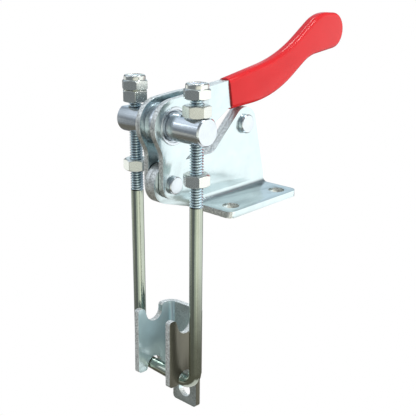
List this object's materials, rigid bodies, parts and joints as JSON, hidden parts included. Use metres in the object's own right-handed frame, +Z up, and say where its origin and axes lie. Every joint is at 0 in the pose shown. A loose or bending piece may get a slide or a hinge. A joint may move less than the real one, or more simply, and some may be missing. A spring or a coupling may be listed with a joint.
{
  "type": "toggle clamp",
  "caption": "Vertical latch-type toggle clamp: a flanged base, a red-gripped over-centre lever, a trunnion pin, a threaded U-bolt and a folded strike plate.",
  "frame": {"origin": "middle of the two mounting holes, on the underside of the mounting flange", "axes": "+Z up out of the flange, X along the line of the two holes with +X towards the free end of the closed handle, +Y from the flange towards the plates it is folded from"},
  "size_m": [0.1561, 0.053, 0.2011],
  "materials": {
    "zinc_plate": "bright zinc-plated steel sheet",
    "zinc_turned": "bright zinc-plated steel, turned or headed",
    "zinc_wire": "zinc-plated steel rod with a rolled thread",
    "zinc_nut": "zinc-plated steel nut",
    "nylon": "natural nylon",
    "red_vinyl": "glossy dipped vinyl"
  },
  "bodies": {
    "base": {"base_plate": "zinc_plate", "side_plate": "zinc_plate", "pivot_rivet": "zinc_turned", "stop_rivet": "zinc_turned"},
    "lever": {"lever_plate_near": "zinc_plate", "lever_plate_far": "zinc_plate", "grip": "red_vinyl"},
    "bush": {"trunnion_bush": "zinc_turned"},
    "pin": {"cross_pin": "zinc_turned"},
    "bolt": {"u_bolt": "zinc_wire", "seat_nut_near": "zinc_nut", "seat_nut_far": "zinc_nut", "lower_nut_near": "zinc_nut", "lower_nut_far": "zinc_nut", "lock_nut_near": "zinc_nut", "lock_nut_far": "zinc_nut", "lock_insert_near": "nylon", "lock_insert_far": "nylon", "strike_plate": "zinc_plate"}
  },
  "joints": [
    {"name": "handle_swing", "type": "hinge", "parent": "base", "child": "lever", "pos_m": [-0.0445, 0.019, 0.0163], "axis": [0, -1, 0], "range_deg": [0, 120]},
    {"name": "bush_turn", "type": "hinge", "parent": "lever", "child": "bush", "pos_m": [-0.0437, 0.019, 0.0436], "axis": [0, -1, 0], "range_deg": [-120, 0]},
    {"name": "u_bolt_swing", "type": "hinge", "parent": "bush", "child": "pin", "pos_m": [-0.0437, 0.019, 0.0436], "axis": [0, 1, 0], "range_deg": [-15, 75]},
    {"name": "u_bolt_lift", "type": "slide", "parent": "pin", "child": "bolt", "axis": [0, 0, 1], "range_m": [0, 0.0125]}
  ],
  "couplings": [
    {"joint": "bush_turn", "follows": "handle_swing", "ratio": -1}
  ]
}
